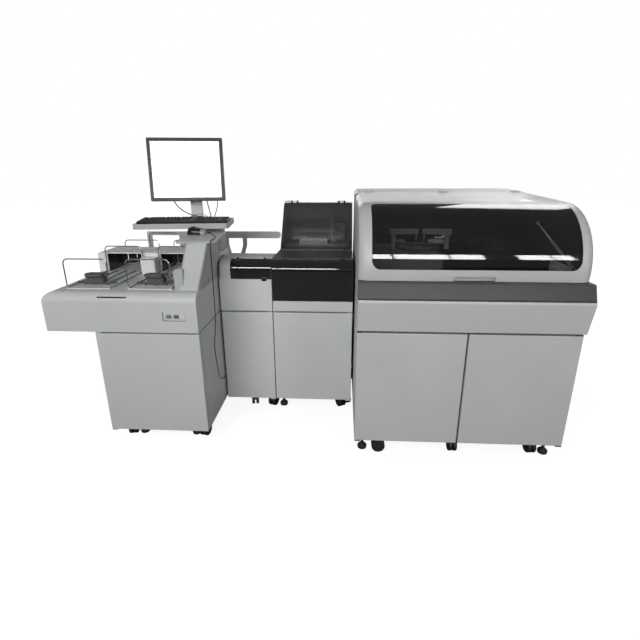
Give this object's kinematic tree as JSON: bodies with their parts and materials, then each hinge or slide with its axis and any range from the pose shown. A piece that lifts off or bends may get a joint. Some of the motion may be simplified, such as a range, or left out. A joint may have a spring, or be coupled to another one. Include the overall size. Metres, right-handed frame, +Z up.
{
  "type": "clinical chemistry analyzer",
  "caption": "Floor-standing chemistry analyzer: domed analyzing module with tinted window, electrolyte and rack transport modules, rack feeder with trays, and a touch console on an arm table.",
  "frame": {"origin": "on the floor, at the middle of the whole object's width and depth", "axes": "+X to the right along the front, +Y from the front to the back, +Z up"},
  "size_m": [2.561, 1.1902, 1.5923],
  "materials": {
    "panel_paint": "satin",
    "hood_paint": "satin",
    "stripe_paint": "satin",
    "tinted_pane": "gloss",
    "window_glass": "gloss",
    "white_cover": "gloss",
    "frame_steel": "matte",
    "deck_steel": "satin",
    "strut_body": "satin",
    "strut_rod": "polished",
    "wheel_plastic": "matte",
    "lid_plastic": "satin",
    "arm_plastic": "satin",
    "tank_plastic": "matte",
    "pump_metal": "satin",
    "tray_plastic": "matte",
    "pusher_plastic": "matte",
    "tower_plastic": "matte",
    "button_grey": "satin",
    "button_dark": "satin",
    "table_plastic": "satin",
    "console_black": "gloss",
    "keyboard_plastic": "matte",
    "screen_panel": "gloss",
    "rail_plastic": "satin",
    "caster_rubber": "matte",
    "foot_rubber": "matte",
    "lead_jacket": "matte",
    "light_jacket": "matte"
  },
  "bodies": {
    "base": {"main_frame": "frame_steel", "main_side_left": "panel_paint", "main_side_right": "panel_paint", "main_rear_housing": "hood_paint", "main_deck": "deck_steel", "main_fascia": "panel_paint", "stripe_band": "stripe_paint", "fluid_tanks": "tank_plastic", "pump_unit": "pump_metal", "ise_cabinet": "panel_paint", "ise_deck": "white_cover", "ise_upper_housing": "white_cover", "ise_unit": "arm_plastic", "transport_cabinet": "panel_paint", "transport_head": "panel_paint", "rack_lane": "tray_plastic", "rear_rail": "rail_plastic", "feeder_cabinet": "panel_paint", "feeder_top_box": "panel_paint", "tray_front_left": "tray_plastic", "tray_front_right": "tray_plastic", "trays_rear": "tray_plastic", "feeder_tunnel_cover": "white_cover", "feeder_side_tower": "tower_plastic", "keyboard_table": "table_plastic", "keyboard": "keyboard_plastic", "mouse": "console_black", "monitor_stand": "console_black", "casters": "caster_rubber", "levelling_feet": "foot_rubber", "mouse_lead": "lead_jacket", "keyboard_lead": "light_jacket", "monitor_power_lead": "lead_jacket", "monitor_signal_lead": "lead_jacket", "monitor_touch_lead": "lead_jacket"},
    "hood": {"main_hood": "hood_paint", "hood_window": "window_glass"},
    "strut_cylinder": {"gas_strut_cylinder": "strut_body"},
    "strut_rod": {"gas_strut_rod": "strut_rod"},
    "carousel": {"reagent_carousel": "lid_plastic"},
    "reaction_wheel": {"cuvette_wheel": "wheel_plastic"},
    "sample_arm": {"sample_probe": "arm_plastic"},
    "reagent_arm": {"reagent_probe": "arm_plastic"},
    "mixer_arm": {"mixer_unit": "arm_plastic"},
    "main_left_door": {"main_door_left": "panel_paint"},
    "main_right_door": {"main_door_right": "panel_paint"},
    "electrolyte_door": {"ise_door": "panel_paint"},
    "electrolyte_flap": {"ise_front_flap": "tinted_pane"},
    "electrolyte_cover": {"ise_upper_cover": "window_glass"},
    "electrolyte_arm": {"ise_probe": "arm_plastic"},
    "lane_door": {"transport_door": "panel_paint"},
    "lane_cover": {"transport_cover": "tinted_pane"},
    "rack_feeder_door": {"feeder_door": "panel_paint"},
    "left_pusher": {"rack_pusher_left": "pusher_plastic"},
    "right_pusher": {"rack_pusher_right": "pusher_plastic"},
    "start_button": {"button_start": "button_grey"},
    "stop_button": {"button_stop": "button_dark"},
    "reset_button": {"button_reset": "button_dark"},
    "monitor_head": {"monitor": "console_black", "monitor_screen": "screen_panel"}
  },
  "joints": [
    {"name": "hood_opening", "type": "hinge", "parent": "base", "child": "hood", "pos_m": [0.765, 0.2875, 1.28541], "axis": [-1, 0, 0], "range_deg": [0, 60]},
    {"name": "strut_swing", "type": "hinge", "parent": "base", "child": "strut_cylinder", "pos_m": [1.2495, -0.4175, 0.967], "axis": [1, 0, 0], "range_deg": [0, 26.9]},
    {"name": "strut_extension", "type": "slide", "parent": "strut_cylinder", "child": "strut_rod", "axis": [0, 0.937, 0.3493], "range_m": [0, 0.1749]},
    {"name": "carousel_turn", "type": "hinge", "parent": "base", "child": "carousel", "pos_m": [1.0345, 0.0775, 0.99], "axis": [0, 0, 1], "continuous": true},
    {"name": "reaction_wheel_turn", "type": "hinge", "parent": "base", "child": "reaction_wheel", "pos_m": [0.6145, 0.1105, 0.97], "axis": [0, 0, 1], "continuous": true},
    {"name": "sample_arm_swing", "type": "hinge", "parent": "base", "child": "sample_arm", "pos_m": [0.4615, 0.0155, 1], "axis": [0, 0, -1], "range_deg": [0, 90]},
    {"name": "reagent_arm_swing", "type": "hinge", "parent": "base", "child": "reagent_arm", "pos_m": [0.7615, 0.0155, 1], "axis": [0, 0, 1], "range_deg": [0, 190]},
    {"name": "mixer_arm_swing", "type": "hinge", "parent": "base", "child": "mixer_arm", "pos_m": [0.7895, 0.1975, 1], "axis": [0, 0, 1], "range_deg": [-8, 8]},
    {"name": "main_left_door_hinge", "type": "hinge", "parent": "base", "child": "main_left_door", "pos_m": [0.2555, -0.5385, 0.391], "axis": [0, 0, -1], "range_deg": [0, 100]},
    {"name": "main_right_door_hinge", "type": "hinge", "parent": "base", "child": "main_right_door", "pos_m": [1.2745, -0.5385, 0.391], "axis": [0, 0, 1], "range_deg": [0, 100]},
    {"name": "electrolyte_door_hinge", "type": "hinge", "parent": "base", "child": "electrolyte_door", "pos_m": [0.2305, -0.1385, 0.371], "axis": [0, 0, 1], "range_deg": [0, 88]},
    {"name": "electrolyte_flap_hinge", "type": "hinge", "parent": "base", "child": "electrolyte_flap", "pos_m": [0.013, -0.0885, 0.9435], "axis": [-1, 0, 0], "range_deg": [0, 80]},
    {"name": "electrolyte_cover_hinge", "type": "hinge", "parent": "base", "child": "electrolyte_cover", "pos_m": [0.013, 0.4445, 1.223], "axis": [-1, 0, 0], "range_deg": [0, 55]},
    {"name": "electrolyte_arm_swing", "type": "hinge", "parent": "base", "child": "electrolyte_arm", "pos_m": [0.1075, 0.4155, 1], "axis": [0, 0, -1], "range_deg": [-15, 24]},
    {"name": "lane_door_hinge", "type": "hinge", "parent": "base", "child": "lane_door", "pos_m": [-0.2205, -0.1385, 0.371], "axis": [0, 0, 1], "range_deg": [0, 90]},
    {"name": "lane_cover_hinge", "type": "hinge", "parent": "base", "child": "lane_cover", "pos_m": [-0.328, -0.0885, 0.9475], "axis": [-1, 0, 0], "range_deg": [0, 80]},
    {"name": "feeder_door_hinge", "type": "hinge", "parent": "base", "child": "rack_feeder_door", "pos_m": [-1.0345, -0.5015, 0.371], "axis": [0, 0, -1], "range_deg": [0, 100]},
    {"name": "left_pusher_travel", "type": "slide", "parent": "base", "child": "left_pusher", "axis": [0, 1, 0], "range_m": [0, 0.24]},
    {"name": "right_pusher_travel", "type": "slide", "parent": "base", "child": "right_pusher", "axis": [0, 1, 0], "range_m": [0, 0.24]},
    {"name": "start_button_press", "type": "slide", "parent": "base", "child": "start_button", "axis": [0, 1, 0], "range_m": [0, 0.003], "stiffness_N_per_m": 500},
    {"name": "stop_button_press", "type": "slide", "parent": "base", "child": "stop_button", "axis": [0, 1, 0], "range_m": [0, 0.003], "stiffness_N_per_m": 500},
    {"name": "reset_button_press", "type": "slide", "parent": "base", "child": "reset_button", "axis": [0, 1, 0], "range_m": [0, 0.003], "stiffness_N_per_m": 500},
    {"name": "monitor_tilt", "type": "hinge", "parent": "base", "child": "monitor_head", "pos_m": [-0.7415, 0.1775, 1.413], "axis": [-0.9854, -0.1702, 0], "range_deg": [-3, 12]}
  ],
  "couplings": [
    {"joint": "strut_swing", "follows": "hood_opening", "ratio": 0.44281},
    {"joint": "strut_extension", "follows": "hood_opening", "m_per_rad": 0.16609}
  ]
}
